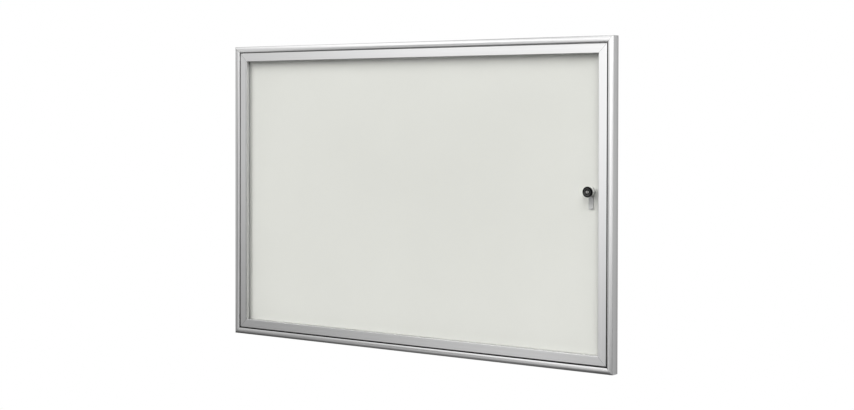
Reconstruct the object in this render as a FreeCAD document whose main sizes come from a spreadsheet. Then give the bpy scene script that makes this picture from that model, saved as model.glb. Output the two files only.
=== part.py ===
import FreeCAD, Part
import math
import os
import Sketcher

# Lockable notice board for a wall. A fixed case of four mitred aluminium extrusions holds a sheet
# back panel. A glazed door of four lighter extrusions swings outwards on two hidden pivot pins at
# its left edge, and a small quarter-turn lock in the pane holds it shut.
# Frame: origin in the middle of the back face, X to the right and Z up as seen from the front.
# The wall is at Y = 0, and the front of the board faces -Y.

# Driving dimensions
# Lengths in millimetres, angles in degrees. A height is measured from the wall.
DIMENSIONS = (
    ("board_width", 900.0, "overall width of the case"),
    ("board_height", 600.0, "overall height of the case"),
    ("bead_width", 11.4, "width of the domed front bead"),
    ("bead_rise", 2.1, "crest of the bead above its two edges"),
    ("bead_stand", 2.5, "crest of the bead above the face of the door"),
    ("bead_skin", 1.5, "wall thickness of the dome"),
    ("case_outer_wall", 1.6, "outer wall of the case extrusion"),
    ("case_inner_wall", 1.4, "inner wall of the case extrusion"),
    ("rear_flange", 1.2, "thickness of the flange against the wall"),
    ("lip_reach", 6.0, "how far the panel lip reaches over the panel"),
    ("lip_thickness", 1.2, "thickness of the panel lip"),
    ("shelf_thickness", 1.2, "thickness of the shelf that stops the door"),
    ("shelf_play", 0.6, "gap between the shelf and the glazing channel of the door"),
    ("panel_thickness", 1.5, "back panel"),
    ("panel_play", 0.05, "gap on each face of the panel in its groove"),
    ("panel_edge_play", 0.6, "gap at the edge of the panel in its groove"),
    ("door_gap", 1.8, "gap between the bead and the door"),
    ("door_face", 17.7, "visible width of the door extrusions"),
    ("door_wall", 1.4, "side walls of the door extrusion"),
    ("door_skin", 1.4, "front wall of the door extrusion"),
    ("door_floor", 1.2, "rear wall of the hollow in the door extrusion"),
    ("door_edge_radius", 1.5, "rounding of the two front edges of the door extrusion"),
    ("reveal_depth", 8.0, "depth of the door from its face to the glazing groove"),
    ("groove_depth", 6.0, "depth of the glazing groove"),
    ("channel_wall", 1.2, "wall at the bottom of the glazing groove"),
    ("back_lip", 1.0, "lip behind the pane"),
    ("pane_thickness", 2.0, "clear pane"),
    ("seal_wall", 0.6, "glazing seal on each side of the pane and at its edge"),
    ("seal_setback", 0.3, "edge of the seal inside the mouth of the groove"),
    ("cleat_leg", 40.0, "length of each leg of a corner cleat, from its corner"),
    ("cleat_play", 0.15, "gap between a cleat and the hollow that holds it"),
    ("case_cleat_height", 10.0, "thickness of the corner cleats in the case"),
    ("hinge_inset", 5.0, "pivot axis from the left edge of the door"),
    ("pin_radius", 2.0, "pivot pin"),
    ("pin_grip", 11.0, "length of the pivot pin held in the door"),
    ("pin_play", 0.05, "running clearance between a pin and its bush"),
    ("bush_wall", 1.15, "wall of the hinge bush"),
    ("bush_play", 0.05, "gap round the bush in its hole"),
    ("bush_length", 7.0, "length of the bush inside the case"),
    ("bush_flange_width", 1.0, "rim of the bush flange"),
    ("bush_seat_play", 0.3, "gap between the bush flange and the door"),
    ("pin_end_play", 0.5, "gap between the end of the pin and the end of its bush"),
    ("buffer_radius", 3.5, "rubber door buffers"),
    ("buffer_play", 0.2, "gap between a buffer and the closed door"),
    ("buffer_offset", 220.0, "buffers from the middle of the board along each rail"),
    ("fixing_inset", 26.0, "wall-fixing holes from the side edges"),
    ("fixing_drop", 60.0, "wall-fixing holes from the top and bottom edges"),
    ("fixing_radius", 2.75, "wall-fixing holes"),
    ("fixing_margin", 8.0, "rear flange beyond the middle of the fixing holes"),
    ("lock_inset", 51.5, "lock axis from the right edge of the case"),
    ("lock_rise", 22.1, "lock axis above the middle of the board"),
    ("lock_stand", 11.0, "front of the lock above the pane"),
    ("lock_radius", 9.2, "barrel of the lock"),
    ("lock_stem_radius", 6.2, "threaded stem through the pane"),
    ("pane_hole_play", 0.3, "gap between the stem and the hole in the pane"),
    ("washer_thickness", 0.5, "washer under the barrel"),
    ("washer_setback", 0.4, "edge of the washer inside the barrel's edge"),
    ("cap_overhang", 0.5, "cap beyond the barrel"),
    ("cap_depth", 3.4, "front cap of the lock"),
    ("cap_skin", 1.5, "front wall of the cap"),
    ("cap_neck", 7.4, "radius of the barrel neck inside the cap"),
    ("cap_play", 0.05, "gap between the neck and the cap"),
    ("cap_chamfer", 0.7, "front edge of the cap, in two steps"),
    ("cap_chamfer_step", 0.2, "narrow end of each step of the cap's edge"),
    ("cap_dish_radius", 6.6, "rim of the dish in the front of the cap"),
    ("cap_dish_depth", 0.5, "depth of the dish at the plug"),
    ("plug_radius", 3.95, "turning plug"),
    ("plug_play", 0.05, "running clearance of the plug in the barrel"),
    ("plug_head_radius", 4.2, "head of the plug"),
    ("plug_head_play", 0.2, "gap round the head of the plug"),
    ("plug_recess", 0.3, "face of the plug below the front of the cap"),
    ("plug_end_play", 0.1, "gap under the head of the plug"),
    ("keyway_length", 5.6, "keyway"),
    ("keyway_width", 1.3, "keyway"),
    ("keyway_depth", 8.0, "keyway"),
    ("nut_thickness", 1.5, "nut behind the pane"),
    ("nut_flats", 17.0, "nut across its flats"),
    ("nut_play", 0.05, "gap between the nut and the stem"),
    ("stem_beyond_nut", 0.1, "end of the stem beyond the nut"),
    ("cam_play", 0.3, "gap between the cam and what it passes behind"),
    ("cam_thickness", 1.1, "cam"),
    ("cam_width", 10.0, "cam"),
    ("cam_engage", 3.1, "how far the locked cam reaches behind the shelf"),
    ("cam_tip_radius", 2.0, "rounding of the two corners of the cam's tip"),
    ("drive_square", 5.0, "square drive between plug and cam"),
    ("drive_play", 0.05, "gap between the drive and the cam"),
    ("screw_head_radius", 3.0, "head of the cam screw"),
    ("screw_head", 0.9, "height of the head of the cam screw"),
    ("screw_radius", 1.5, "shank of the cam screw"),
    ("screw_length", 7.0, "shank of the cam screw"),
    ("screw_panel_play", 0.25, "gap between the cam screw and the back panel"),
)

document = FreeCAD.newDocument("notice_board")
sheet = document.addObject("Spreadsheet::Sheet", "Sizes")
for row, (alias, number, meaning) in enumerate(DIMENSIONS, start=1):
    sheet.set(f"A{row}", meaning)
    sheet.set(f"B{row}", str(number))
    sheet.setAlias(f"B{row}", alias)
document.recompute()


class Size:
    """A length that carries its number and the sheet formula that gives it."""

    def __init__(self, number, formula=None):
        self.number = float(number)
        self.formula = formula or f"{self.number:.6f}"

    def __add__(self, other):
        other = as_size(other)
        return Size(self.number + other.number, f"({self.formula} + {other.formula})")

    def __sub__(self, other):
        other = as_size(other)
        return Size(self.number - other.number, f"({self.formula} - {other.formula})")

    def __mul__(self, other):
        other = as_size(other)
        return Size(self.number * other.number, f"({self.formula} * {other.formula})")

    def __truediv__(self, other):
        other = as_size(other)
        return Size(self.number / other.number, f"({self.formula} / {other.formula})")

    def __neg__(self):
        return Size(-self.number, f"(0 - {self.formula})")


def as_size(item):
    return item if isinstance(item, Size) else Size(item)


def root(size):
    return Size(math.sqrt(size.number), f"sqrt({size.formula})")


def sizes_of_sheet():
    """Every driving dimension as a Size, by name."""
    return {alias: Size(sheet.get(alias), f"Sizes.{alias}") for alias, _, _ in DIMENSIONS}


class Derived:
    """Holds the driving dimensions and the places worked out from them, as attributes."""


dims = Derived()
for alias, size in sizes_of_sheet().items():
    setattr(dims, alias, size)
ZERO = Size(0)
ALONG = FreeCAD.Vector(1, 0, 0)
UPWARDS = FreeCAD.Vector(0, 0, 1)

# Heights above the wall, stacked from the back to the front
dims.panel_back = dims.rear_flange + dims.panel_play
dims.panel_front = dims.panel_back + dims.panel_thickness
dims.lip_low = dims.panel_front + dims.panel_play
dims.lip_high = dims.lip_low + dims.lip_thickness
dims.screw_low = dims.panel_front + dims.screw_panel_play
dims.cam_low = dims.screw_low + dims.screw_head
dims.cam_high = dims.cam_low + dims.cam_thickness
dims.door_back = dims.cam_high + dims.cam_play
dims.shelf_high = dims.door_back + dims.shelf_thickness
dims.groove_low = dims.door_back + dims.back_lip
dims.pane_back = dims.groove_low + dims.seal_wall
dims.pane_front = dims.pane_back + dims.pane_thickness
dims.groove_high = dims.pane_front + dims.seal_wall
dims.door_front = dims.groove_high + dims.reveal_depth
dims.case_depth = dims.door_front + dims.bead_stand
dims.door_hollow_low = dims.groove_high + dims.door_floor
dims.door_hollow_high = dims.door_front - dims.door_skin
dims.hinge_height = (dims.door_hollow_low + dims.door_hollow_high) / 2

# The dome of the bead is part of a circle over its two edges
dims.bead_edge = dims.case_depth - dims.bead_rise
dims.bead_half = dims.bead_width / 2
dims.bead_radius = dims.bead_half * dims.bead_half / (dims.bead_rise * 2) + dims.bead_rise / 2
dims.bead_centre = dims.case_depth - dims.bead_radius
dims.hollow_radius = dims.bead_radius - dims.bead_skin

# Insets from the outer edge of the case towards the middle of the board
dims.case_hollow_in = dims.bead_width - dims.case_inner_wall
dims.door_edge = dims.bead_width + dims.door_gap
dims.door_inner = dims.door_edge + dims.door_face
dims.groove_bottom = dims.door_inner - dims.groove_depth
dims.channel_edge = dims.groove_bottom - dims.channel_wall
dims.shelf_tip = dims.channel_edge - dims.shelf_play
dims.lip_tip = dims.bead_width + dims.lip_reach
dims.flange_tip = dims.fixing_inset + dims.fixing_margin
dims.door_hollow_out = dims.door_edge + dims.door_wall
dims.door_hollow_in = dims.door_inner - dims.door_wall
dims.pane_edge = dims.groove_bottom + dims.seal_wall
dims.seal_tip = dims.door_inner - dims.seal_setback
dims.hinge_line = dims.door_edge + dims.hinge_inset
dims.buffer_line = (dims.bead_width + dims.shelf_tip) / 2


def dome_height(inset):
    """Height of the hollow's domed roof at an inset from the outer edge of the case."""
    off = inset - dims.bead_half
    return dims.bead_centre + root(dims.hollow_radius * dims.hollow_radius - off * off)


# Building blocks
def bind(item, prop, size):
    """Sets a property of an object to a size and binds it to the sheet."""
    item.setExpression(prop, as_size(size).formula)


def new_body(name):
    body = document.addObject("PartDesign::Body", name)
    body.Label = name
    return body


def new_sketch(body, role, name, offset=None):
    """A sketch on one of the body's own origin planes, moved along its normal by the offset."""
    plane = [p for p in body.Origin.OriginFeatures if p.Role == role][0]
    sketch = body.newObject("Sketcher::SketchObject", f"{body.Name}_{name}")
    sketch.AttachmentSupport = (plane, [""])
    sketch.MapMode = "FlatFace"
    if offset is not None:
        sketch.AttachmentOffset = FreeCAD.Placement(
            FreeCAD.Vector(0, 0, offset.number), FreeCAD.Rotation()
        )
        bind(sketch, "AttachmentOffset.Base.z", offset)
    return sketch


def add_driven(sketch, constraint, size):
    """Adds a constraint whose value follows the sheet."""
    index = sketch.addConstraint(constraint)
    bind(sketch, f"Constraints[{index}]", size)


def place_point(sketch, geometry, vertex, point):
    """Fixes a point of the sketch at two sizes from the sketch's origin."""
    for kind, size in zip(("DistanceX", "DistanceY"), point):
        size = as_size(size)
        rule = Sketcher.Constraint(kind, -1, 1, geometry, vertex, size.number)
        add_driven(sketch, rule, size)


def place_centre(sketch, geometry, centre, chord):
    """Fixes the centre of an arc whose ends are fixed, along the line that bisects its chord."""
    kind, size = ("DistanceX", centre[0]) if abs(chord.y) > abs(chord.x) else ("DistanceY", centre[1])
    size = as_size(size)
    add_driven(sketch, Sketcher.Constraint(kind, -1, 1, geometry, 3, size.number), size)


def vector(point):
    return FreeCAD.Vector(as_size(point[0]).number, as_size(point[1]).number, 0)


def arc_between(start, end, centre):
    """The anticlockwise arc from start to end about the centre."""
    radius = start.distanceToPoint(centre)
    first = math.atan2(start.y - centre.y, start.x - centre.x)
    last = math.atan2(end.y - centre.y, end.x - centre.x)
    if last <= first:
        last += 2 * math.pi
    circle = Part.Circle(centre, FreeCAD.Vector(0, 0, 1), radius)
    return Part.ArcOfCircle(circle, first, last)


def draw_outline(sketch, points, arcs=None):
    """A closed outline through the points. arcs maps the number of a side to the centre of its arc,
    and such a side runs anticlockwise from its start to its end."""
    arcs = arcs or {}
    corners = [vector(p) for p in points]
    first = sketch.GeometryCount
    count = len(points)
    for side in range(count):
        start, end = corners[side], corners[(side + 1) % count]
        if side in arcs:
            sketch.addGeometry(arc_between(start, end, vector(arcs[side])), False)
        else:
            sketch.addGeometry(Part.LineSegment(start, end), False)
    for side in range(count):
        following = first + (side + 1) % count
        sketch.addConstraint(Sketcher.Constraint("Coincident", first + side, 2, following, 1))
        place_point(sketch, first + side, 1, points[side])
        if side in arcs:
            chord = corners[(side + 1) % count] - corners[side]
            place_centre(sketch, first + side, arcs[side], chord)


def draw_circle(sketch, centre, radius):
    circle = Part.Circle(vector(centre), FreeCAD.Vector(0, 0, 1), radius.number)
    geometry = sketch.addGeometry(circle, False)
    place_point(sketch, geometry, 3, centre)
    add_driven(sketch, Sketcher.Constraint("Radius", geometry, radius.number), radius)


def draw_rectangle(sketch, low, high):
    draw_outline(sketch, [low, (high[0], low[1]), high, (low[0], high[1])])


def pad(body, sketch, length, symmetric=False, backwards=False):
    feature = body.newObject("PartDesign::Pad", f"{sketch.Name}_pad")
    feature.Profile = sketch
    feature.Midplane = symmetric
    feature.Reversed = backwards
    bind(feature, "Length", length)
    sketch.Visibility = False
    document.recompute()
    return feature


def pocket(body, sketch, length=None, backwards=False):
    """A pocket of a given depth, or right through both ways. It stops the build if it cuts nothing."""
    before = body.Shape.Volume
    feature = body.newObject("PartDesign::Pocket", f"{sketch.Name}_pocket")
    feature.Profile = sketch
    feature.Reversed = backwards
    if length is None:
        feature.Type = "ThroughAll"
        feature.Midplane = True
    else:
        bind(feature, "Length", length)
    document.recompute()
    if body.Shape.Volume >= before - 1e-6:
        raise RuntimeError(f"{feature.Name} cuts nothing")
    return feature


def revolve(name, points):
    """A body turned about its own Z axis, from points of radius and height."""
    body = new_body(name)
    sketch = new_sketch(body, "XZ_Plane", "profile")
    draw_outline(sketch, points)
    feature = body.newObject("PartDesign::Revolution", f"{name}_turned")
    feature.Profile = sketch
    feature.ReferenceAxis = (sketch, ["V_Axis"])
    feature.Angle = 360
    document.recompute()
    return body


def round_edges(body, base, radius, direction, test):
    """Rounds the straight edges along a direction, or the round ones about it, that pass the test."""
    chosen = []
    for number, edge in enumerate(base.Shape.Edges, start=1):
        middle = edge.valueAt((edge.FirstParameter + edge.LastParameter) / 2)
        line = edge.Curve.Direction if hasattr(edge.Curve, "Direction") else edge.Curve.Axis
        if line.cross(direction).Length < 1e-6 and test(middle):
            chosen.append(f"Edge{number}")
    feature = body.newObject("PartDesign::Fillet", f"{base.Name}_rounding")
    feature.Base = (base, chosen)
    bind(feature, "Radius", radius)
    document.recompute()
    return feature


def move(body, across=None, out=None, up=None):
    """Places a body at sizes to the right, out from the wall and up."""
    if across is not None:
        bind(body, "Placement.Base.x", across)
    if out is not None:
        bind(body, "Placement.Base.y", -out)
    if up is not None:
        bind(body, "Placement.Base.z", up)


# Extrusions
# Each member is drawn lying along its own X axis. Its outer edge would touch Z = 0, an inset is -Z
# and a height above the wall is -Y. It is then turned about Y to its side of the board.
SIDES = {
    "top": {"turn": 0, "length": dims.board_width, "across": ZERO, "up": dims.board_height / 2},
    "right": {"turn": 90, "length": dims.board_height, "across": dims.board_width / 2, "up": ZERO},
    "bottom": {"turn": 180, "length": dims.board_width, "across": ZERO, "up": -dims.board_height / 2},
    "left": {"turn": -90, "length": dims.board_height, "across": -dims.board_width / 2, "up": ZERO},
}
LEFT_END = {"top": -1, "bottom": 1}


def section_point(inset, height):
    return (-height, -inset)


def case_section(sketch):
    """Case extrusion: domed hollow bead, door shelf, panel lip and rear flange."""
    corners = [
        (ZERO, dims.bead_edge),
        (ZERO, ZERO),
        (dims.flange_tip, ZERO),
        (dims.flange_tip, dims.rear_flange),
        (dims.bead_width, dims.rear_flange),
        (dims.bead_width, dims.lip_low),
        (dims.lip_tip, dims.lip_low),
        (dims.lip_tip, dims.lip_high),
        (dims.bead_width, dims.lip_high),
        (dims.bead_width, dims.door_back),
        (dims.shelf_tip, dims.door_back),
        (dims.shelf_tip, dims.shelf_high),
        (dims.bead_width, dims.shelf_high),
        (dims.bead_width, dims.bead_edge),
    ]
    centre = section_point(dims.bead_half, dims.bead_centre)
    points = [section_point(*corner) for corner in reversed(corners)]
    draw_outline(sketch, [points[-1]] + points[:-1], {0: centre})
    hollow = [
        (dims.case_outer_wall, dome_height(dims.case_outer_wall)),
        (dims.case_hollow_in, dome_height(dims.case_hollow_in)),
        (dims.case_hollow_in, dims.rear_flange),
        (dims.case_outer_wall, dims.rear_flange),
    ]
    draw_outline(sketch, [section_point(*p) for p in hollow], {0: centre})


def door_section(sketch):
    """Door extrusion: flat hollow box with the glazing channel behind its inner half."""
    corners = [
        (dims.door_edge, dims.door_front),
        (dims.door_inner, dims.door_front),
        (dims.door_inner, dims.groove_high),
        (dims.groove_bottom, dims.groove_high),
        (dims.groove_bottom, dims.groove_low),
        (dims.door_inner, dims.groove_low),
        (dims.door_inner, dims.door_back),
        (dims.channel_edge, dims.door_back),
        (dims.channel_edge, dims.groove_high),
        (dims.door_edge, dims.groove_high),
    ]
    draw_outline(sketch, [section_point(*p) for p in corners])
    draw_rectangle(
        sketch,
        section_point(dims.door_hollow_out, dims.door_hollow_low),
        section_point(dims.door_hollow_in, dims.door_hollow_high),
    )


def seal_section(sketch):
    """Glazing seal: a U round the edge of the pane."""
    corners = [
        (dims.seal_tip, dims.groove_high),
        (dims.seal_tip, dims.pane_front),
        (dims.pane_edge, dims.pane_front),
        (dims.pane_edge, dims.pane_back),
        (dims.seal_tip, dims.pane_back),
        (dims.seal_tip, dims.groove_low),
        (dims.groove_bottom, dims.groove_low),
        (dims.groove_bottom, dims.groove_high),
    ]
    draw_outline(sketch, [section_point(*p) for p in corners])


def cut_mitres(body, length, reach):
    """Cuts both ends of a member at 45 degrees through the outer corners of the board."""
    sketch = new_sketch(body, "XZ_Plane", "mitres")
    end = length / 2
    draw_outline(sketch, [(end, ZERO), (end - reach, -reach), (end, -reach)])
    draw_outline(sketch, [(-end, ZERO), (-end, -reach), (reach - end, -reach)])
    pocket(body, sketch)


def extrusion(name, side, draw_section, rounded=None):
    """A mitred length of one section on one side of the board."""
    place = SIDES[side]
    body = new_body(name)
    sketch = new_sketch(body, "YZ_Plane", "section")
    draw_section(sketch)
    base = pad(body, sketch, place["length"], symmetric=True)
    if rounded is not None:
        round_edges(body, base, dims.door_edge_radius, ALONG, rounded)
    cut_mitres(body, place["length"], dims.flange_tip + dims.fixing_margin)
    body.Placement = FreeCAD.Placement(
        FreeCAD.Vector(), FreeCAD.Rotation(FreeCAD.Vector(0, 1, 0), place["turn"])
    )
    move(body, across=place["across"], up=place["up"])
    return body


def bore_for_pivot(body, side, inset, depth, radius):
    """A round hole for the pivot, cut inwards from an inset of a top or bottom member."""
    sketch = new_sketch(body, "XY_Plane", "pivot", offset=-inset)
    along = (SIDES[side]["length"] / 2 - dims.hinge_line) * LEFT_END[side]
    draw_circle(sketch, (along, -dims.hinge_height), radius)
    pocket(body, sketch, depth)


def front_edges_of_door(point):
    """True on the two long front edges of a door section, as drawn."""
    at_front = abs(point.y + dims.door_front.number) < 1e-4
    at_edge = min(abs(point.z + dims.door_edge.number), abs(point.z + dims.door_inner.number)) < 1e-4
    return at_front and at_edge


def make_case():
    bush_radius = dims.pin_radius + dims.pin_play + dims.bush_wall
    for side in SIDES:
        member = extrusion(f"frame_{side}", side, case_section)
        if side in LEFT_END:
            bore_for_pivot(
                member, side, dims.case_hollow_in, dims.case_inner_wall, bush_radius + dims.bush_play
            )
        else:
            sketch = new_sketch(member, "XZ_Plane", "fixings")
            reach = dims.board_height / 2 - dims.fixing_drop
            for along in (reach, -reach):
                draw_circle(sketch, (along, -dims.fixing_inset), dims.fixing_radius)
            pocket(member, sketch, dims.rear_flange, backwards=True)


def make_panel():
    """Back panel: a sheet in the groove between the rear flange and the lip."""
    panel = new_body("back_panel")
    sketch = new_sketch(panel, "XZ_Plane", "outline", offset=dims.panel_back)
    half_width = dims.board_width / 2 - dims.bead_width - dims.panel_edge_play
    half_height = dims.board_height / 2 - dims.bead_width - dims.panel_edge_play
    draw_rectangle(sketch, (-half_width, -half_height), (half_width, half_height))
    for across in (1, -1):
        for up in (1, -1):
            spot = (
                (dims.board_width / 2 - dims.fixing_inset) * across,
                (dims.board_height / 2 - dims.fixing_drop) * up,
            )
            draw_circle(sketch, spot, dims.fixing_radius)
    pad(panel, sketch, dims.panel_thickness)


def make_door():
    pin_hole = dims.pin_radius + dims.pin_play
    for side in SIDES:
        member = extrusion(f"door_{side}", side, door_section, front_edges_of_door)
        if side in LEFT_END:
            bore_for_pivot(member, side, dims.door_edge, dims.door_wall, pin_hole)
        extrusion(f"glazing_seal_{side}", side, seal_section)


def make_pane():
    pane = new_body("pane")
    sketch = new_sketch(pane, "XZ_Plane", "outline", offset=dims.pane_back)
    half_width = dims.board_width / 2 - dims.pane_edge
    half_height = dims.board_height / 2 - dims.pane_edge
    draw_rectangle(sketch, (-half_width, -half_height), (half_width, half_height))
    draw_circle(sketch, (lock_across, dims.lock_rise), dims.lock_stem_radius + dims.pane_hole_play)
    pad(pane, sketch, dims.pane_thickness)


# Corner cleats
CORNERS = {
    "top_left": (-1, 1),
    "top_right": (1, 1),
    "bottom_right": (1, -1),
    "bottom_left": (-1, -1),
}


def cleat(name, corner, outer, inner, low, high, bore=None):
    """An L-shaped block in two meeting hollows, from its outer and inner insets and its heights.
    A bore is the radius of the upright hole on the pivot axis."""
    side, level = CORNERS[corner]
    body = new_body(name)
    sketch = new_sketch(body, "XZ_Plane", "outline", offset=low)
    end = outer + dims.cleat_leg
    outline = [(outer, outer), (end, outer), (end, inner), (inner, inner), (inner, end), (outer, end)]
    draw_outline(sketch, [(across * -side, up * -level) for across, up in outline])
    pad(body, sketch, high - low)
    if bore is not None:
        hole = new_sketch(body, "XY_Plane", "bore")
        draw_circle(hole, (dims.hinge_line * -side, -dims.hinge_height), bore)
        pocket(body, hole)
    move(body, across=dims.board_width / 2 * side, up=dims.board_height / 2 * level)


def make_cleats():
    case_outer = dims.case_outer_wall + dims.cleat_play
    case_inner = dims.case_hollow_in - dims.cleat_play
    case_high = dome_height(dims.case_hollow_in) - dims.cleat_play
    door_outer = dims.door_hollow_out + dims.cleat_play
    door_inner = dims.door_hollow_in - dims.cleat_play
    bush_hole = dims.pin_radius + dims.pin_play + dims.bush_wall + dims.bush_play
    for corner, (side, _) in CORNERS.items():
        at_hinge = side < 0
        cleat(
            f"frame_cleat_{corner}", corner, case_outer, case_inner,
            case_high - dims.case_cleat_height, case_high, bush_hole if at_hinge else None,
        )
        cleat(
            f"door_cleat_{corner}", corner, door_outer, door_inner,
            dims.door_hollow_low + dims.cleat_play, dims.door_hollow_high - dims.cleat_play,
            dims.pin_radius if at_hinge else None,
        )


# Hinge
# A pin and a bush are turned about the pivot axis. Their heights are measured along it from the
# inner wall of the case, towards the outside, and the lower pair is turned over.
def make_hinge():
    pin_end = dims.bush_length - dims.pin_end_play
    bore = dims.pin_radius + dims.pin_play
    rim = bore + dims.bush_wall
    flange = dims.door_gap - dims.bush_seat_play
    for place, turn, level in (("top", 0, 1), ("bottom", 180, -1)):
        foot = -dims.door_gap - dims.pin_grip
        pin = revolve(
            f"hinge_pin_{place}",
            [(ZERO, foot), (dims.pin_radius, foot), (dims.pin_radius, pin_end), (ZERO, pin_end)],
        )
        bush = revolve(
            f"hinge_bush_{place}",
            [
                (bore, -flange),
                (rim + dims.bush_flange_width, -flange),
                (rim + dims.bush_flange_width, ZERO),
                (rim, ZERO),
                (rim, dims.bush_length),
                (bore, dims.bush_length),
            ],
        )
        for body in (pin, bush):
            body.Placement = FreeCAD.Placement(
                FreeCAD.Vector(), FreeCAD.Rotation(FreeCAD.Vector(0, 1, 0), turn)
            )
            wall_line = dims.board_height / 2 - dims.bead_width
            move(body, dims.hinge_line - dims.board_width / 2, dims.hinge_height, wall_line * level)


def make_buffers():
    """Four rubber pads on the shelf: two on the lock side and one each at top and bottom."""
    across = dims.board_width / 2 - dims.buffer_line
    up = dims.board_height / 2 - dims.buffer_line
    spots = [
        (across, dims.buffer_offset), (across, -dims.buffer_offset),
        (dims.buffer_offset, up), (dims.buffer_offset, -up),
    ]
    pads = []
    for number, (x, z) in enumerate(spots, start=1):
        buffer = document.addObject("Part::Cylinder", f"buffer_{number}")
        bind(buffer, "Radius", dims.buffer_radius)
        bind(buffer, "Height", dims.groove_high - dims.shelf_high - dims.buffer_play)
        buffer.Placement = FreeCAD.Placement(
            FreeCAD.Vector(), FreeCAD.Rotation(FreeCAD.Vector(1, 0, 0), 90)
        )
        move(buffer, x, dims.shelf_high, z)
        pads.append(buffer)
    group = document.addObject("Part::Compound", "door_buffers")
    group.Label = "door_buffers"
    group.Links = pads


# Lock
# Its pieces are turned about the lock axis and drawn with Z as the height above the wall.
lock_across = dims.board_width / 2 - dims.lock_inset


def set_on_lock_axis(item):
    item.Placement = FreeCAD.Placement(
        FreeCAD.Vector(), FreeCAD.Rotation(FreeCAD.Vector(1, 0, 0), 90)
    )
    move(item, across=lock_across, up=dims.lock_rise)


def make_lock_shell():
    washer_high = dims.pane_front + dims.washer_thickness
    front = dims.pane_front + dims.lock_stand
    cap_low = front - dims.cap_depth
    neck_high = front - dims.cap_skin - dims.cap_play
    bore = dims.plug_radius + dims.plug_play
    stem_low = dims.pane_back - dims.nut_thickness - dims.stem_beyond_nut
    barrel = revolve(
        "lock_body",
        [
            (bore, stem_low),
            (dims.lock_stem_radius, stem_low),
            (dims.lock_stem_radius, washer_high),
            (dims.lock_radius, washer_high),
            (dims.lock_radius, cap_low),
            (dims.cap_neck, cap_low),
            (dims.cap_neck, neck_high),
            (bore, neck_high),
        ],
    )
    washer = revolve(
        "lock_washer",
        [
            (dims.lock_stem_radius, dims.pane_front),
            (dims.lock_radius - dims.washer_setback, dims.pane_front),
            (dims.lock_radius - dims.washer_setback, washer_high),
            (dims.lock_stem_radius, washer_high),
        ],
    )
    rim = dims.lock_radius + dims.cap_overhang
    socket = dims.cap_neck + dims.cap_play
    mouth = dims.plug_head_radius + dims.plug_head_play
    cap = revolve(
        "lock_cap",
        [
            (socket, cap_low),
            (rim, cap_low),
            (rim, front - dims.cap_chamfer),
            (rim - dims.cap_chamfer_step, front - dims.cap_chamfer_step),
            (rim - dims.cap_chamfer, front),
            (dims.cap_dish_radius, front),
            (mouth, front - dims.cap_dish_depth),
            (mouth, front - dims.cap_skin),
            (socket, front - dims.cap_skin),
        ],
    )
    for body in (barrel, washer, cap):
        set_on_lock_axis(body)


def make_nut():
    """Thin hexagon nut against the back of the pane."""
    blank = document.addObject("Part::Prism", "nut_blank")
    blank.Polygon = 6
    bind(blank, "Circumradius", dims.nut_flats / root(Size(3)))
    bind(blank, "Height", dims.nut_thickness)
    bind(blank, "Placement.Base.z", dims.pane_back - dims.nut_thickness)
    hole = document.addObject("Part::Cylinder", "nut_hole")
    bind(hole, "Radius", dims.lock_stem_radius + dims.nut_play)
    bind(hole, "Height", dims.pane_back)
    nut = document.addObject("Part::Cut", "lock_nut")
    nut.Label = "lock_nut"
    nut.Base = blank
    nut.Tool = hole
    set_on_lock_axis(nut)


def make_plug():
    """Turning plug: round head with a keyway, a shaft, and a square drive for the cam."""
    front = dims.pane_front + dims.lock_stand
    face = front - dims.plug_recess
    seat = front - dims.cap_skin - dims.cap_play + dims.plug_end_play
    shaft_low = dims.cam_high + dims.drive_play
    plug = revolve(
        "lock_plug",
        [
            (ZERO, shaft_low),
            (dims.plug_radius, shaft_low),
            (dims.plug_radius, seat),
            (dims.plug_head_radius, seat),
            (dims.plug_head_radius, face),
            (ZERO, face),
        ],
    )
    drive = new_sketch(plug, "XY_Plane", "drive", offset=dims.cam_low)
    half = dims.drive_square / 2
    draw_rectangle(drive, (-half, -half), (half, half))
    pad(plug, drive, shaft_low - dims.cam_low)
    keyway = new_sketch(plug, "XY_Plane", "keyway", offset=face)
    tall, wide = dims.keyway_length / 2, dims.keyway_width / 2
    draw_rectangle(keyway, (-wide, -tall), (wide, tall))
    pocket(plug, keyway, dims.keyway_depth)
    tapped = new_sketch(plug, "XY_Plane", "tapped", offset=dims.cam_low)
    draw_circle(tapped, (ZERO, ZERO), dims.screw_radius)
    pocket(plug, tapped, dims.screw_length, backwards=True)
    set_on_lock_axis(plug)


def make_cam():
    """Flat cam, pointing down while unlocked. A quarter turn brings its tip behind the shelf."""
    cam = new_body("lock_cam")
    sketch = new_sketch(cam, "XY_Plane", "outline", offset=dims.cam_low)
    half = dims.cam_width / 2
    reach = dims.lock_inset - dims.shelf_tip + dims.cam_engage
    draw_outline(
        sketch,
        [(half, ZERO), (-half, ZERO), (-half, -reach), (half, -reach)],
        {0: (ZERO, ZERO)},
    )
    opening = dims.drive_square / 2 + dims.drive_play
    draw_rectangle(sketch, (-opening, -opening), (opening, opening))
    base = pad(cam, sketch, dims.cam_thickness)
    round_edges(
        cam, base, dims.cam_tip_radius, UPWARDS, lambda p: abs(p.y + reach.number) < 1e-4
    )
    set_on_lock_axis(cam)


def make_cam_screw():
    screw = revolve(
        "cam_screw",
        [
            (ZERO, dims.screw_low),
            (dims.screw_head_radius, dims.screw_low),
            (dims.screw_head_radius, dims.cam_low),
            (dims.screw_radius, dims.cam_low),
            (dims.screw_radius, dims.cam_low + dims.screw_length),
            (ZERO, dims.cam_low + dims.screw_length),
        ],
    )
    set_on_lock_axis(screw)


make_case()
make_panel()
make_cleats()
make_hinge()
make_buffers()
make_door()
make_pane()
make_lock_shell()
make_nut()
make_plug()
make_cam()
make_cam_screw()
document.recompute()

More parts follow.
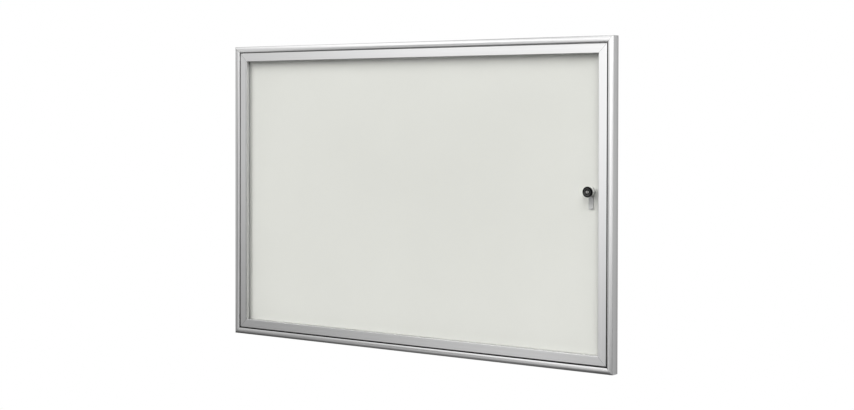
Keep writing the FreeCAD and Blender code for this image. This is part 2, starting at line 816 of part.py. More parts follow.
# Checks and files
PIECES = [o for o in document.Objects if o.isDerivedFrom("PartDesign::Body")]
PIECES += [document.getObject("door_buffers"), document.getObject("lock_nut")]
for item in document.Objects:
    if "Invalid" in item.State or "Error" in item.State:
        raise RuntimeError(f"{item.Label} failed: {item.State}")
os.makedirs("parts", exist_ok=True)
for piece in PIECES:
    if piece.Shape.isNull() or not piece.Shape.isValid():
        raise RuntimeError(f"{piece.Label} has no valid shape")
for piece in PIECES:
    piece.Shape.exportStep(f"parts/{piece.Label}.step")
print(len(PIECES), "pieces written")
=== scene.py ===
import math

import bmesh
import bpy
from mathutils import Matrix, Vector


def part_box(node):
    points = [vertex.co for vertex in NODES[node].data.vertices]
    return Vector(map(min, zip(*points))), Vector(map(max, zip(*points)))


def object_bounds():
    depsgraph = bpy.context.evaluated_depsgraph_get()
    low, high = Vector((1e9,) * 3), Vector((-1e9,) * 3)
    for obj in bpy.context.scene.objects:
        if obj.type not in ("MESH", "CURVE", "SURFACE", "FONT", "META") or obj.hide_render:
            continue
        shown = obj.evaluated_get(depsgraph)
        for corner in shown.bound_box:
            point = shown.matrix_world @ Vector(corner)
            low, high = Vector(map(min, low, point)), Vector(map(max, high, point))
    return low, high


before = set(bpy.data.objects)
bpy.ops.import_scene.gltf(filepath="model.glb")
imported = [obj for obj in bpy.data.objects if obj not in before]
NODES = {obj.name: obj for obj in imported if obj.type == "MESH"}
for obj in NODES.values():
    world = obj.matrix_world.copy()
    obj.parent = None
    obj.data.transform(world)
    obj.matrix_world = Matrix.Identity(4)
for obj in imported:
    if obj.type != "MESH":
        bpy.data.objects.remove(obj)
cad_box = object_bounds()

# Lockable notice board: the case hangs on a wall at Y = 0 and faces -Y. Lengths are in metres.
MM = 0.001
HALF_WIDTH = cad_box[1][0]
HALF_HEIGHT = cad_box[1][2]

# The door's edges and the case's inner edge, in from the outer edge of the case, and the door's front, out
# from the wall. DOOR_GAP is the width of the gap between the two.
DOOR_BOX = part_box("door_right")
DOOR_GAP = 1.8 * MM
DOOR_EDGE = HALF_WIDTH - DOOR_BOX[1][0]
DOOR_INNER = HALF_WIDTH - DOOR_BOX[0][0]
CASE_INNER = DOOR_EDGE - DOOR_GAP
DOOR_FRONT = -DOOR_BOX[0][1]

# The lock's axis, and its front out from the wall
CAP_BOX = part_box("lock_cap")
LOCK_AXIS = ((CAP_BOX[0][0] + CAP_BOX[1][0]) / 2, 0.0, (CAP_BOX[0][2] + CAP_BOX[1][2]) / 2)
LOCK_FRONT = -CAP_BOX[0][1]

# Camera, solved from the edges of the board in the photograph
PHOTO_WIDTH = 854
PHOTO_HEIGHT = 410
SENSOR_WIDTH = 36.0
FOCAL_PIXELS = 1544.98
OPTICAL_AXIS_ROW = 134.49
CAMERA_PLACE = (1.7731, -2.4168, 0.1607)
CAMERA_YAW, CAMERA_PITCH, CAMERA_ROLL = (math.radians(a) for a in (35.756, 0.762, 0.108))


def camera_forward():
    """The direction in which the camera looks."""
    return Vector((
        -math.sin(CAMERA_YAW) * math.cos(CAMERA_PITCH),
        math.cos(CAMERA_YAW) * math.cos(CAMERA_PITCH),
        -math.sin(CAMERA_PITCH),
    ))


def make_camera():
    """The camera stands to the right of the board, looks slightly down and shifts its frame down."""
    forward = camera_forward()
    level = Vector((math.cos(CAMERA_YAW), math.sin(CAMERA_YAW), 0))
    above = level.cross(forward)
    right = level * math.cos(CAMERA_ROLL) + above * math.sin(CAMERA_ROLL)
    up = above * math.cos(CAMERA_ROLL) - level * math.sin(CAMERA_ROLL)
    data = bpy.data.cameras.new("camera")
    data.sensor_width = SENSOR_WIDTH
    data.lens = FOCAL_PIXELS * SENSOR_WIDTH / PHOTO_WIDTH
    data.shift_y = (OPTICAL_AXIS_ROW - PHOTO_HEIGHT / 2) / PHOTO_WIDTH
    camera = bpy.data.objects.new("camera", data)
    turn = Matrix((right, up, -forward)).transposed().to_4x4()
    camera.matrix_world = Matrix.Translation(CAMERA_PLACE) @ turn
    bpy.context.scene.collection.objects.link(camera)
    bpy.context.scene.camera = camera


# Node helpers

# The part of its range from 0 to 1 that a noise texture mostly fills
NOISE_LOW, NOISE_HIGH = 0.3, 0.7
# The sockets of a Mix node that hold its share, its two colours and its result
MIX_SHARE, MIX_FIRST, MIX_SECOND, MIX_RESULT = 0, 6, 7, 2


class Tree:
    """A node tree with short calls for the nodes used here."""

    def __init__(self, tree):
        self.tree = tree
        tree.nodes.clear()

    def node(self, kind, inputs=None, **settings):
        """A new node. An input is linked where it is another node's socket, and set where it is a value."""
        made = self.tree.nodes.new(kind)
        for name, value in settings.items():
            setattr(made, name, value)
        for name, value in (inputs or {}).items():
            if isinstance(value, bpy.types.NodeSocket):
                self.tree.links.new(value, made.inputs[name])
            else:
                made.inputs[name].default_value = value
        return made

    def maths(self, operation, first, second=0.0):
        return self.node("ShaderNodeMath", {0: first, 1: second}, operation=operation).outputs[0]

    def times(self, first, second):
        return self.maths("MULTIPLY", first, second)

    def vector_maths(self, operation, first, second, output="Vector"):
        return self.node("ShaderNodeVectorMath", {0: first, 1: second}, operation=operation).outputs[output]

    def ramp(self, value, low, high, to_low=0.0, to_high=1.0, smooth=False):
        """to_low where the value is low, to_high where it is high, and even between them."""
        made = self.node(
            "ShaderNodeMapRange",
            {"Value": value, "From Min": low, "From Max": high, "To Min": to_low, "To Max": to_high},
            interpolation_type="SMOOTHSTEP" if smooth else "LINEAR",
        )
        return made.outputs["Result"]

    def fade(self, value, low, high):
        """1 up to low, and 0 from high."""
        return self.ramp(value, low, high, 1.0, 0.0)

    def band(self, value, low, high, soft):
        """1 between low and high, with soft edges inside them."""
        return self.times(self.ramp(value, low, low + soft), self.fade(value, high - soft, high))

    def mix(self, share, first, second):
        """The first colour where the share is 0, and the second where it is 1."""
        inputs = {MIX_SHARE: share, MIX_FIRST: first, MIX_SECOND: second}
        return self.node("ShaderNodeMix", inputs, data_type="RGBA").outputs[MIX_RESULT]

    def place(self):
        """The place of a point on the surface, in metres in the frame."""
        return self.node("ShaderNodeTexCoord").outputs["Object"]

    def noise(self, scale, detail=3.0, roughness=0.6):
        """Noise with about so many patches to the metre, in all directions or along X, Y and Z."""
        each_way = scale if isinstance(scale, tuple) else (scale, scale, scale)
        vector = self.node("ShaderNodeMapping", {"Vector": self.place(), "Scale": each_way}).outputs["Vector"]
        inputs = {"Vector": vector, "Scale": 1.0, "Detail": detail, "Roughness": roughness}
        return self.node("ShaderNodeTexNoise", inputs).outputs["Fac"]

    def spread(self, noise, low, high):
        """The noise, spread out between two values."""
        return self.ramp(noise, NOISE_LOW, NOISE_HIGH, low, high)

    def place_on_board(self):
        """Distances in from the sides and the ends of the case, up from its middle and out from the wall."""
        parts = self.node("ShaderNodeSeparateXYZ", {0: self.place()}).outputs
        from_side = self.maths("SUBTRACT", HALF_WIDTH, self.maths("ABSOLUTE", parts["X"]))
        from_end = self.maths("SUBTRACT", HALF_HEIGHT, self.maths("ABSOLUTE", parts["Z"]))
        return from_side, from_end, parts["Z"], self.times(parts["Y"], -1.0)

    def place_on_lock(self):
        """Distances across, up and away from the lock's axis, and out from the wall."""
        from_axis = self.vector_maths("SUBTRACT", self.place(), LOCK_AXIS)
        parts = self.node("ShaderNodeSeparateXYZ", {0: from_axis}).outputs
        across, up = parts["X"], parts["Z"]
        squares = self.maths("ADD", self.times(across, across), self.times(up, up))
        return across, up, self.maths("SQRT", squares), self.times(parts["Y"], -1.0)

    def bump(self, height, strength, distance, normal=None):
        inputs = {"Height": height, "Strength": strength, "Distance": distance}
        if normal is not None:
            inputs["Normal"] = normal
        return self.node("ShaderNodeBump", inputs).outputs["Normal"]


def grey(level, warmth=0.0):
    """A nearly neutral linear colour."""
    return (level * (1 + warmth), level, level * (1 - warmth), 1.0)


BLACK = grey(0.0)
WHITE = grey(1.0)


def new_material(name):
    material = bpy.data.materials.new(name)
    material.use_nodes = True
    return material, Tree(material.node_tree)


def end_material(tree, shader):
    tree.node("ShaderNodeOutputMaterial", {"Surface": shader})


def end_principled(tree, inputs):
    """Ends a material in a Principled shader with these inputs."""
    end_material(tree, tree.node("ShaderNodeBsdfPrincipled", inputs).outputs[0])


# Aluminium

# The lines of the drawn metal, in patches to the metre along X, Y and Z, and how many times broader its
# soft shades are
LINES = {"x": (3.0, 900.0, 900.0), "z": (900.0, 900.0, 3.0)}
SHADES_BROADER = 6
METAL_LEVEL = 0.82
METAL_LEVEL_SPREAD = 0.04
METAL_ROUGHNESS = 0.34
METAL_ROUGHNESS_SPREAD = 0.03

# For each side: the axis that it runs along, how dark the painted shade on the door's return beside the pane
# is, and how dark the painted shade on the lip is, which is the strip of the door's face next to that return
SIDES = {
    "top": ("x", 0.35, 0.0),
    "bottom": ("x", 0.3, 0.0),
    "left": ("z", 0.2, 0.5),
    "right": ("z", 0.42, 0.0),
}
# Where the door's return begins, in from the case's outer edge, how soft that start is, and the lip's width
RETURN_EDGE = DOOR_INNER - 0.4 * MM
RETURN_SOFT = 0.5 * MM
LIP_WIDTH = 2.0 * MM

MITRE_WIDTH = 0.2 * MM
MITRE_SHADE = 0.6

# Painted shade in the gap between the door and the case: how much of a piece's wall in the gap is dark, at
# the top of the board and at its bottom, and how far it reaches over the bead's edge. On the door, only the
# closing edge is dark.
GAP_SHADE = {
    "frame_top": (0.4, 0.4, 0.1 * MM),
    "frame_bottom": (0.95, 0.95, 0.1 * MM),
    "frame_left": (0.0, 0.92, 0.1 * MM),
    "frame_right": (0.97, 0.97, 0.7 * MM),
    "door_right": (0.97, 0.97, 0.7 * MM),
}
# How dark the painted shade in the gap is, and how much rougher it makes the metal
GAP_SHADE_LEVEL = 0.02
GAP_SHADE_ROUGHER = 0.3
# The painted shade ends a little way over the door's edge, and lies between these distances out from the wall
GAP_SHADE_OVER_DOOR = 0.5 * MM
GAP_SHADE_OVER_SOFT = 0.1 * MM
GAP_SHADE_FROM, GAP_SHADE_TO = 3 * MM, DOOR_FRONT + 1.0 * MM
GAP_SHADE_HEIGHT_SOFT = 0.5 * MM

# Painted highlight and shade on the beads: from and to how far in, and its level. A start below zero takes in
# the outer edge.
BEAD_PAINTED_LEVELS = {
    "frame_top": ((0.05 * MM, 1.3 * MM, 0.45), (CASE_INNER - 4.5 * MM, CASE_INNER, 0.98)),
    "frame_left": ((-1.0 * MM, CASE_INNER, 0.68),),
    "frame_bottom": ((-1.0 * MM, CASE_INNER, 0.69),),
}
BAND_SOFT = 0.3 * MM

# Painted shade: the outer face of the case is painted darker towards the wall
OUTSIDE_FROM, OUTSIDE_TO = 0.05 * MM, 0.3 * MM
WALL_PAINTED_SHADE = 0.28
WALL_PAINTED_SHADE_DEPTH = 9 * MM


def gap_painted_shade(tree, name, inset, rise, height):
    """1 where a piece is painted with shade in the gap between the door and the case."""
    above, below, reach = GAP_SHADE.get(name, (0.0, 0.0, 0.0))
    in_gap = tree.times(
        tree.band(inset, CASE_INNER - reach, DOOR_EDGE + GAP_SHADE_OVER_DOOR, GAP_SHADE_OVER_SOFT),
        tree.band(height, GAP_SHADE_FROM, GAP_SHADE_TO, GAP_SHADE_HEIGHT_SOFT),
    )
    return tree.times(in_gap, tree.ramp(rise, HALF_HEIGHT, -HALF_HEIGHT, above, below))


def drawn_aluminium(name, side):
    """Satin anodised extrusion: fine lines along its length, a matt grain and hairlines at the mitres.
    Painted highlight and shade on its bead, and painted shade by the wall, on its return, on the left lip and
    in the gap."""
    axis, return_painted_shade, lip_painted_shade = SIDES[side]
    material, tree = new_material("aluminium_" + name)
    lines = tree.noise(LINES[axis], detail=3.0, roughness=0.65)
    broad_scale = tuple(scale / SHADES_BROADER for scale in LINES[axis])
    broad = tree.noise(broad_scale, detail=2.0, roughness=0.5)
    grain = tree.noise(2600.0, detail=2.0, roughness=0.5)
    cloud = tree.noise(9.0)
    tone = tree.maths("ADD", tree.times(lines, 0.5), tree.times(broad, 0.5))
    from_side, from_end, rise, height = tree.place_on_board()
    inset = tree.maths("MINIMUM", from_side, from_end)
    off_mitre = tree.maths("ABSOLUTE", tree.maths("SUBTRACT", from_side, from_end))
    on_mitre = tree.fade(off_mitre, MITRE_WIDTH, MITRE_WIDTH * 2)
    # Painted shade on the door's return beside the pane and on the lip next to it
    in_return = tree.ramp(inset, RETURN_EDGE - RETURN_SOFT, RETURN_EDGE)
    on_lip = tree.band(inset, RETURN_EDGE - LIP_WIDTH, RETURN_EDGE, BAND_SOFT)
    # Painted shade on the outer face of the case, towards the wall
    on_outside = tree.fade(inset, OUTSIDE_FROM, OUTSIDE_TO)
    by_wall_shade = tree.times(on_outside, tree.fade(height, 0.0, WALL_PAINTED_SHADE_DEPTH))
    darker, paler = METAL_LEVEL * (1 - METAL_LEVEL_SPREAD), METAL_LEVEL * (1 + METAL_LEVEL_SPREAD)
    colour = tree.mix(tree.spread(tone, 0.0, 1.0), grey(darker), grey(paler))
    # Painted highlight and shade on the beads
    for start, end, level in BEAD_PAINTED_LEVELS.get(name, ()):
        colour = tree.mix(tree.band(inset, start, end, BAND_SOFT), colour, grey(level))
    # Painted shade by the wall, on the return and on the lip, and the dark hairline of each mitre
    for where, shade in (
        (by_wall_shade, WALL_PAINTED_SHADE),
        (in_return, return_painted_shade),
        (on_mitre, MITRE_SHADE),
        (on_lip, lip_painted_shade),
    ):
        colour = tree.mix(tree.times(where, shade), colour, BLACK)
    # Painted shade in the gap between the door and the case
    gap_shade = gap_painted_shade(tree, name, inset, rise, height)
    grained = tree.bump(grain, strength=0.2, distance=1e-5)
    rough = tree.maths("ADD", tree.times(lines, 0.6), tree.times(cloud, 0.4))
    smoother, rougher = METAL_ROUGHNESS - METAL_ROUGHNESS_SPREAD, METAL_ROUGHNESS + METAL_ROUGHNESS_SPREAD
    end_principled(tree, {
        "Base Color": tree.mix(gap_shade, colour, grey(GAP_SHADE_LEVEL)),
        "Metallic": 1.0,
        "Roughness": tree.maths(
            "ADD", tree.ramp(rough, 0.25, 0.75, smoother, rougher), tree.times(gap_shade, GAP_SHADE_ROUGHER)
        ),
        "Normal": tree.bump(lines, strength=0.35, distance=2e-5, normal=grained),
    })
    return material


# Sheets

PANEL_COLOUR = (0.773, 0.769, 0.729, 1.0)
PANEL_SPREAD = 0.012


def coated_sheet(name, colour):
    """Powder-coated steel sheet with a fine orange peel."""
    material, tree = new_material(name)
    peel = tree.noise(900.0, detail=2.0, roughness=0.5)
    cloud = tree.noise(6.0)
    paler = [min(1.0, part * (1 + PANEL_SPREAD)) for part in colour[:3]] + [1.0]
    darker = [part * (1 - PANEL_SPREAD) for part in colour[:3]] + [1.0]
    end_principled(tree, {
        "Base Color": tree.mix(tree.spread(cloud, 0.0, 1.0), darker, paler),
        "Roughness": tree.spread(peel, 0.5, 0.62),
        "Specular IOR Level": 0.4,
        "Normal": tree.bump(peel, strength=0.15, distance=2e-5),
    })
    return material


def clear_sheet(name):
    """Clear acrylic, faintly smeared. Light of the lamps goes straight through it."""
    material, tree = new_material(name)
    smear = tree.noise((14.0, 14.0, 5.0), detail=4.0)
    glass = tree.node("ShaderNodeBsdfPrincipled", {
        "Base Color": (0.99, 0.995, 0.99, 1.0),
        "Roughness": tree.ramp(smear, 0.35, 0.75, 0.0, 0.03),
        "IOR": 1.49,
        "Transmission Weight": 1.0,
    })
    clear = tree.node("ShaderNodeBsdfTransparent", {"Color": (0.97, 0.975, 0.97, 1.0)})
    path = tree.node("ShaderNodeLightPath").outputs
    lit = tree.maths("MAXIMUM", path["Is Shadow Ray"], path["Is Diffuse Ray"])
    shares = {0: lit, 1: glass.outputs[0], 2: clear.outputs[0]}
    end_material(tree, tree.node("ShaderNodeMixShader", shares).outputs[0])
    return material


# Small parts

# How soft the edge of a patch of finish is, the grain of small parts, and the black lacquer of the lock
SOFT_EDGE = 0.2 * MM
FINE_EDGE = 0.1 * MM
FINE_GRAIN = 700.0
GRAIN_ROUGHNESS = 0.55
GRAIN_DEPTH = 1.5e-5
LACQUER_LEVEL = 0.002
LACQUER_SPECULAR = 0.1

# The cover's ring about its dish, worn to grey and also a painted highlight on the dish's rim, and how far
# behind its front it ends
RING_WEAR_AND_HIGHLIGHT = (5.7 * MM, 6.7 * MM)
RING_WEAR_AND_HIGHLIGHT_LEVEL = 0.16
RING_WEAR_AND_HIGHLIGHT_DEPTH = 0.6 * MM

# The bare face of the plug inside its black collar: its radius, how far it lies behind the lock's front,
# half the width of the painted shade along its keyway, and how closely its turned rings follow each other
PLUG_FACE_RADIUS = 2.6 * MM
PLUG_FACE_DEPTH = 0.45 * MM
KEYWAY_SHADE_HALF = 0.9 * MM
PLUG_RINGS = 30000.0

# The stretch of the cam over which the painted shadow of the lock fades out, up from the lock's axis
CAM_SHADOW_FADE_FROM, CAM_SHADOW_FADE_TO = -12 * MM, -34 * MM

# The cross recess of the screw: half the width and half the length of its slots, and the soft side of each
CROSS_HALF_WIDTH = 0.3 * MM
CROSS_HALF_LENGTH = 1.7 * MM
CROSS_SIDE_EDGE = 0.06 * MM


def moulded(name, level, roughness, metallic=0.0, depth=GRAIN_DEPTH):
    """Rubber, nylon, cast or plated metal: a grey with a fine grain."""
    material, tree = new_material(name)
    grain = tree.noise(FINE_GRAIN, roughness=GRAIN_ROUGHNESS)
    wear = tree.noise(90.0)
    end_principled(tree, {
        "Base Color": tree.mix(tree.spread(wear, 0.0, 1.0), grey(level * 0.9), grey(level * 1.1)),
        "Metallic": metallic,
        "Roughness": tree.spread(grain, roughness * 0.85, roughness * 1.15),
        "Normal": tree.bump(grain, strength=0.3, distance=depth),
    })
    return material


def lock_cover(name):
    """Black lacquered cover, worn to grey in a ring round its dish; the ring is also a painted highlight on
    the dish's rim.
    """
    material, tree = new_material(name)
    _, _, out, height = tree.place_on_lock()
    grain = tree.noise(FINE_GRAIN, roughness=GRAIN_ROUGHNESS)
    wear = tree.noise(400.0)
    ring_from, ring_to = RING_WEAR_AND_HIGHLIGHT
    ring_ends = LOCK_FRONT - RING_WEAR_AND_HIGHLIGHT_DEPTH
    near_front = tree.ramp(height, ring_ends, ring_ends + SOFT_EDGE)
    # Wear and painted highlight in a ring round the dish
    ring = tree.times(tree.band(out, ring_from, ring_to, BAND_SOFT), near_front)
    worn_and_lit = tree.times(ring, tree.spread(wear, 0.6, 1.0))
    end_principled(tree, {
        "Base Color": tree.mix(worn_and_lit, grey(LACQUER_LEVEL), grey(RING_WEAR_AND_HIGHLIGHT_LEVEL)),
        "Metallic": tree.times(worn_and_lit, 0.5),
        "Roughness": tree.spread(grain, 0.24, 0.33),
        "Specular IOR Level": LACQUER_SPECULAR,
        "Normal": tree.bump(grain, strength=0.3, distance=GRAIN_DEPTH),
    })
    return material


def lock_key_metal(name, level):
    """Nickel face of the plug, turned in fine rings, in a black collar and with painted shade along its
    keyway.
    """
    material, tree = new_material(name)
    across, _, out, height = tree.place_on_lock()
    rings = tree.maths("SINE", tree.times(out, PLUG_RINGS))
    wear = tree.noise(900.0)
    face_height = LOCK_FRONT - PLUG_FACE_DEPTH
    on_face = tree.ramp(height, face_height, face_height + FINE_EDGE)
    inside_collar = tree.fade(out, PLUG_FACE_RADIUS, PLUG_FACE_RADIUS + SOFT_EDGE)
    # Painted shade along the keyway
    off_keyway_shade = tree.ramp(tree.maths("ABSOLUTE", across), KEYWAY_SHADE_HALF, KEYWAY_SHADE_HALF + FINE_EDGE)
    bare = tree.times(tree.times(on_face, inside_collar), off_keyway_shade)
    metal = tree.mix(tree.spread(wear, 0.0, 1.0), grey(level * 0.85, 0.02), grey(level * 1.1, 0.02))
    end_principled(tree, {
        "Base Color": tree.mix(bare, grey(LACQUER_LEVEL), metal),
        "Metallic": bare,
        "Roughness": tree.spread(wear, 0.22, 0.34),
        "Specular IOR Level": LACQUER_SPECULAR,
        "Normal": tree.bump(rings, strength=0.2, distance=4e-6),
    })
    return material


def cam_with_painted_shadow(name, root_level, tip_level):
    """Zinc-plated cam, painted darker at the plug with the shadow of the lock, which fades out towards its
    tip.
    """
    material, tree = new_material(name)
    _, up, _, _ = tree.place_on_lock()
    grain = tree.noise(FINE_GRAIN, roughness=GRAIN_ROUGHNESS)
    wear = tree.noise(250.0)
    # Painted shadow of the lock, fading out down the cam
    out_of_shadow = tree.times(tree.ramp(up, CAM_SHADOW_FADE_FROM, CAM_SHADOW_FADE_TO), tree.spread(wear, 0.85, 1.0))
    end_principled(tree, {
        "Base Color": tree.mix(out_of_shadow, grey(root_level), grey(tip_level)),
        "Metallic": 1.0,
        "Roughness": tree.spread(grain, 0.42, 0.57),
        "Normal": tree.bump(grain, strength=0.3, distance=GRAIN_DEPTH),
    })
    return material


def screw_steel(name, level):
    """Zinc-plated screw with a cross recess in its head, drawn as a bump with painted shade in it."""
    material, tree = new_material(name)
    across, up, _, _ = tree.place_on_lock()
    wear = tree.noise(900.0)
    across = tree.maths("ABSOLUTE", across)
    up = tree.maths("ABSOLUTE", up)
    off_slot = tree.maths("MINIMUM", across, up)
    along_slot = tree.maths("MAXIMUM", across, up)
    cross = tree.times(
        tree.fade(off_slot, CROSS_HALF_WIDTH, CROSS_HALF_WIDTH + CROSS_SIDE_EDGE),
        tree.fade(along_slot, CROSS_HALF_LENGTH, CROSS_HALF_LENGTH + FINE_EDGE),
    )
    metal = tree.mix(tree.spread(wear, 0.0, 1.0), grey(level * 0.85), grey(level * 1.1))
    end_principled(tree, {
        # The cross recess is painted dark: painted shade in the recess
        "Base Color": tree.mix(cross, metal, grey(0.02)),
        "Metallic": 1.0,
        "Roughness": tree.spread(wear, 0.25, 0.4),
        "Normal": tree.bump(cross, strength=1.0, distance=2e-4),
    })
    return material


def dress_nodes():
    """Gives every node of the frame its material: its own, that of its kind, or else aluminium."""
    rubber = moulded("buffer_rubber", level=0.03, roughness=0.7)
    steel = moulded("plain_steel", level=0.55, roughness=0.3, metallic=1.0)
    own = {
        "back_panel": coated_sheet("panel_coating", PANEL_COLOUR),
        "pane": clear_sheet("clear_pane"),
        "door_buffers": rubber,
        "lock_body": moulded("lock_chrome", level=0.85, roughness=0.1, metallic=1.0, depth=2e-6),
        "lock_cap": lock_cover("lock_black"),
        "lock_plug": lock_key_metal("plug_nickel", level=0.62),
        "lock_washer": rubber,
        "lock_nut": steel,
        # The cam is painted dark with the lock's shadow, darker at its root than at its tip
        "lock_cam": cam_with_painted_shadow("cam_steel", root_level=0.25, tip_level=0.47),
        "cam_screw": screw_steel("screw_zinc", level=0.6),
    }
    # The first kind whose word is in a node's name is the one it gets
    kinds = {
        "cleat": moulded("cast_cleat", level=0.45, roughness=0.5, metallic=1.0),
        # The top seal is a darker copy of the glazing rubber: painted shade under the top rail
        "seal_top": moulded("glazing_rubber_top_shaded", level=0.12, roughness=0.7),
        "seal": moulded("glazing_rubber", level=0.30, roughness=0.7),
        "pin": steel,
        "bush": moulded("bush_nylon", level=0.03, roughness=0.4),
    }
    for name, node in NODES.items():
        material = own.get(name)
        for word, choice in kinds.items():
            if material is None and word in name:
                material = choice
        if material is None:
            material = drawn_aluminium(name, name.split("_")[-1])
        for slot in node.material_slots:
            slot.material = material


# Light

# How sharply a light fades away from its middle
SMALL, WIDE = 30.0, 12.0

# Each light: azimuth from straight ahead of the board, elevation, sharpness and strength. Most of them
# began as a fit of strengths to the grey levels of the photograph, and were then rounded, corrected and
# grouped. The lamps and glows behind the board were given one by one.
LAMPS = (
    # From above in front, for the panel and the shadows of the rails on it
    (-40, 45, SMALL, 3.5), (-20, 25, SMALL, 5.4), (30, 25, SMALL, 2.7), (30, 45, SMALL, 3.5),
    (50, 45, SMALL, 3.5),
    # From far left, for the wide soft edge of the left rail's shadow
    (-75, 10, SMALL, 3.0),
    # From below, to soften the shadow under the top rail
    (60, -50, WIDE, 1.9),
    # From behind, for the back and for the open door
    (150, 20, WIDE, 2.0), (-150, 20, WIDE, 2.0), (180, 50, WIDE, 2.0),
)
TENT_GLOWS = (
    # Above in front, mirrored by the upper sides of the beads and by the top of the case
    (-65, 50, WIDE, 1.4), (-30, 30, SMALL, 1.45), (-15, 30, SMALL, 0.7), (18, 30, SMALL, 1.7),
    (70, 55, WIDE, 5.7),
    # On the left and about level with the board, mirrored by the faces of the door
    (-80, 15, SMALL, 0.6), (-80, -10, SMALL, 0.5), (-60, 0, SMALL, 0.5), (-45, 15, SMALL, 0.35),
    (-30, 15, SMALL, 0.15),
    # Straight ahead, mirrored by the beads
    (2, 2, SMALL, 1.9),
    # On the right, mirrored by the right sides of the beads and by the outer face of the case
    (40, 0, WIDE, 1.0), (40, 30, WIDE, 0.6), (90, 30, WIDE, 0.5), (115, 30, WIDE, 0.4),
    (140, 0, WIDE, 0.5), (140, -30, WIDE, 0.4),
    # Below in front, mirrored by the undersides of the beads and by the lowest faces
    (-35, -60, WIDE, 0.2), (-45, -25, SMALL, 0.4), (-30, -25, SMALL, 0.25), (-15, -25, SMALL, 0.7),
    # Behind, mirrored by the back and by the open door
    (-170, 10, WIDE, 0.8), (-150, 50, WIDE, 0.9), (-120, -10, WIDE, 0.5), (-165, -45, WIDE, 0.5),
)
# The edge of the open door is 1.12 m from the middle of the case, and the tent has room for it
TENT_RADIUS = 1.17
TENT_SUBDIVISIONS = 4
# How nearly a mirrored ray has to go the camera's way before it meets the white backdrop, as cosines
BACKDROP_EDGE, BACKDROP_FULL = 0.90, 0.98


def facing(azimuth, elevation):
    """The direction from the board towards a light, from angles in degrees."""
    a, e = math.radians(azimuth), math.radians(elevation)
    return (math.sin(a) * math.cos(e), -math.cos(a) * math.cos(e), math.sin(e))


def glow_sum(tree, direction, rows):
    """The strength of light from a direction: one soft round glow for each row."""
    total = 0.0
    for azimuth, elevation, sharpness, strength in rows:
        towards = tree.vector_maths("DOT_PRODUCT", direction, facing(azimuth, elevation), "Value")
        shape = tree.maths("EXPONENT", tree.times(tree.maths("SUBTRACT", towards, 1.0), sharpness))
        total = tree.maths("ADD", tree.times(shape, strength), total)
    return total


def sees_backdrop(tree, direction):
    """1 for rays that show the white backdrop: straight, through glass, or mirrored towards it."""
    path = tree.node("ShaderNodeLightPath").outputs
    towards = tree.vector_maths("DOT_PRODUCT", direction, tuple(camera_forward()), "Value")
    behind = tree.ramp(towards, BACKDROP_EDGE, BACKDROP_FULL, smooth=True)
    mirrored = tree.times(path["Is Glossy Ray"], behind)
    straight = tree.maths("MAXIMUM", path["Is Camera Ray"], path["Is Transmission Ray"])
    return tree.maths("MAXIMUM", straight, mirrored)


def make_world():
    """The white backdrop, at strength 1. It gives matt surfaces no light: the lamps do."""
    world = bpy.data.worlds.new("studio")
    bpy.context.scene.world = world
    world.use_nodes = True
    tree = Tree(world.node_tree)
    direction = tree.node("ShaderNodeTexCoord").outputs["Generated"]
    dark = tree.node("ShaderNodeBackground", {"Color": BLACK, "Strength": 0.0})
    white = tree.node("ShaderNodeBackground", {"Color": WHITE, "Strength": 1.0})
    shares = {0: sees_backdrop(tree, direction), 1: dark.outputs[0], 2: white.outputs[0]}
    tree.node("ShaderNodeOutputWorld", {"Surface": tree.node("ShaderNodeMixShader", shares).outputs[0]})


def make_lamps():
    """Large soft lamps, far away. What the gloss mirrors is the tent, so these don't show in it."""
    for number, (azimuth, elevation, sharpness, strength) in enumerate(LAMPS, start=1):
        # A lamp is as wide as a soft glow of the same sharpness
        solid_angle = 2 * math.pi / sharpness
        data = bpy.data.lights.new(f"lamp_{number}", "SUN")
        data.energy = strength * solid_angle
        data.angle = 2 * math.sqrt(solid_angle / math.pi)
        lamp = bpy.data.objects.new(f"lamp_{number}", data)
        lamp.rotation_euler = Vector(facing(azimuth, elevation)).to_track_quat("Z", "Y").to_euler()
        lamp.visible_glossy = False
        bpy.context.scene.collection.objects.link(lamp)


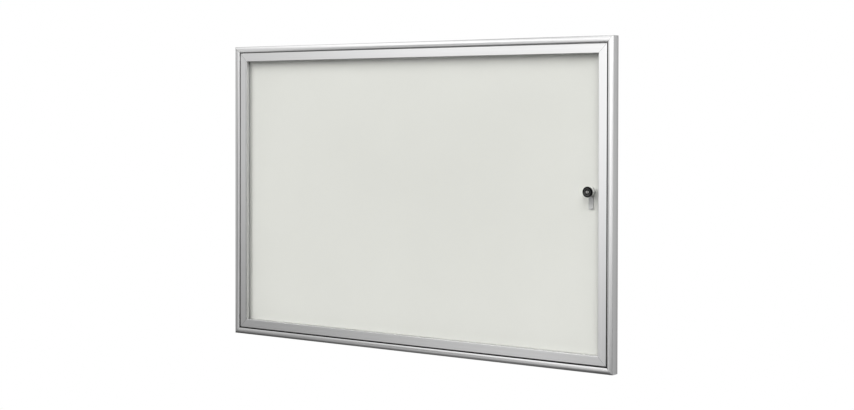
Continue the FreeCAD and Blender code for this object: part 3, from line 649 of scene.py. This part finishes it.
def make_tent():
    """Pale reflector cloth in a round tent close about the board. Only gloss shows it."""
    mesh = bpy.data.meshes.new("tent")
    shell = bmesh.new()
    bmesh.ops.create_icosphere(shell, subdivisions=TENT_SUBDIVISIONS, radius=TENT_RADIUS)
    shell.to_mesh(mesh)
    shell.free()
    tent = bpy.data.objects.new("tent", mesh)
    bpy.context.scene.collection.objects.link(tent)
    tent.visible_camera = False
    tent.visible_diffuse = False
    tent.visible_transmission = False
    tent.visible_shadow = False
    material, tree = new_material("tent_cloth")
    material.cycles.emission_sampling = "NONE"
    direction = tree.node("ShaderNodeVectorMath", {0: tree.place()}, operation="NORMALIZE").outputs["Vector"]
    strength = glow_sum(tree, direction, TENT_GLOWS)
    cloth = tree.node("ShaderNodeEmission", {"Color": WHITE, "Strength": strength})
    clear = tree.node("ShaderNodeBsdfTransparent")
    shares = {0: sees_backdrop(tree, direction), 1: cloth.outputs[0], 2: clear.outputs[0]}
    end_material(tree, tree.node("ShaderNodeMixShader", shares).outputs[0])
    mesh.materials.append(material)


# Floor

# How far the floor lies below the board, and half its width
FLOOR_DROP = 2.0
FLOOR_HALF = 1.0
FLOOR_COLOUR = grey(0.8)
# What brings the lit floor up to white where a ray sees it
FLOOR_LIFT = 0.42


def make_floor():
    """A pale floor well below the board, out of the photograph's view."""
    mesh = bpy.data.meshes.new("floor")
    corners = (-1, -1), (1, -1), (1, 1), (-1, 1)
    points = [(x * FLOOR_HALF, y * FLOOR_HALF, -HALF_HEIGHT - FLOOR_DROP) for x, y in corners]
    mesh.from_pydata(points, [], [(0, 1, 2, 3)])
    floor = bpy.data.objects.new("floor", mesh)
    bpy.context.scene.collection.objects.link(floor)
    material, tree = new_material("floor_white")
    path = tree.node("ShaderNodeLightPath").outputs
    seen = tree.maths("MAXIMUM", path["Is Camera Ray"], path["Is Transmission Ray"])
    seen = tree.maths("MAXIMUM", seen, path["Is Glossy Ray"])
    matt = tree.node("ShaderNodeBsdfDiffuse", {"Color": FLOOR_COLOUR})
    lift = tree.node("ShaderNodeEmission", {"Strength": tree.times(seen, FLOOR_LIFT)})
    end_material(tree, tree.node("ShaderNodeAddShader", {0: matt.outputs[0], 1: lift.outputs[0]}).outputs[0])
    mesh.materials.append(material)


make_camera()
make_world()
make_lamps()
make_tent()
make_floor()
dress_nodes()
bpy.context.scene.view_settings.view_transform = "Standard"
